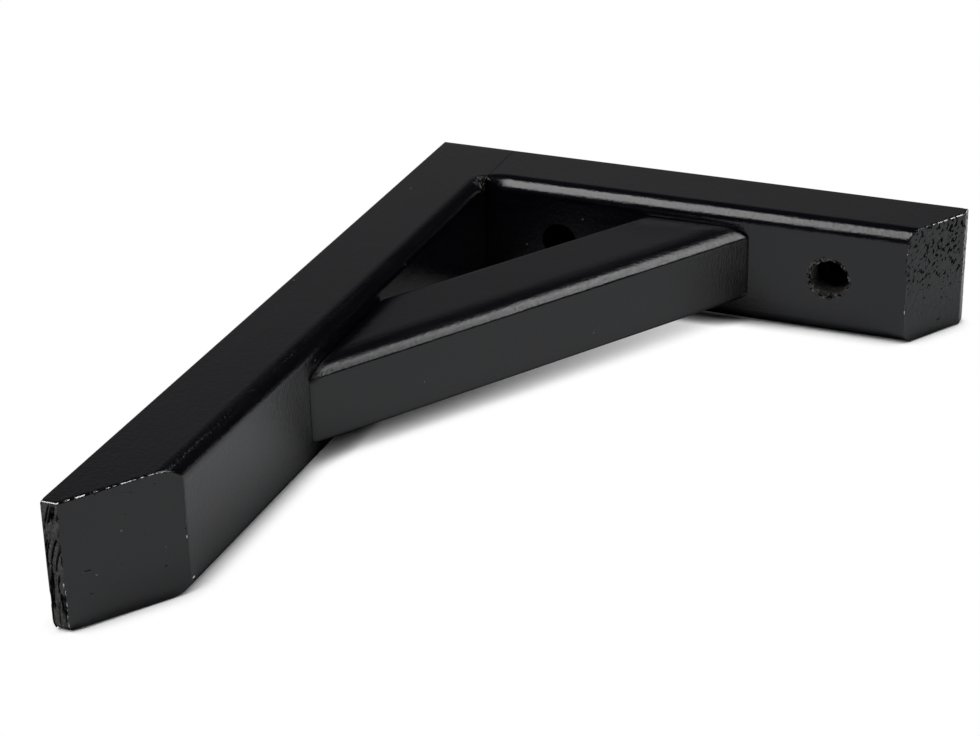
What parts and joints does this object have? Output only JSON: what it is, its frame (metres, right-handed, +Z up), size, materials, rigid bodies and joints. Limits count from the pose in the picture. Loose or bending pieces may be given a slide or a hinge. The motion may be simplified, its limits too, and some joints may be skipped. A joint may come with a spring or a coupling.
{
  "type": "gallows shelf bracket",
  "caption": "Black painted timber gallows bracket with a long shelf arm, a shorter wall leg with sunk screw holes, and a diagonal brace between them.",
  "frame": {"origin": "outer corner on the middle plane, where the wall face meets the shelf face", "axes": "+X out from the wall along the shelf arm, +Y along the wall, +Z up; the wall face looks along -X and the shelf face along +Z"},
  "size_m": [0.1935, 0.028, 0.1305],
  "materials": {
    "black_painted_timber": "semi-gloss black paint over planed softwood",
    "dowel_wood": "bare beech"
  },
  "bodies": {
    "root": {"shelf_arm": "black_painted_timber", "wall_leg": "black_painted_timber", "brace": "black_painted_timber", "corner_dowels": "dowel_wood", "brace_dowels": "dowel_wood"}
  },
  "joints": []
}
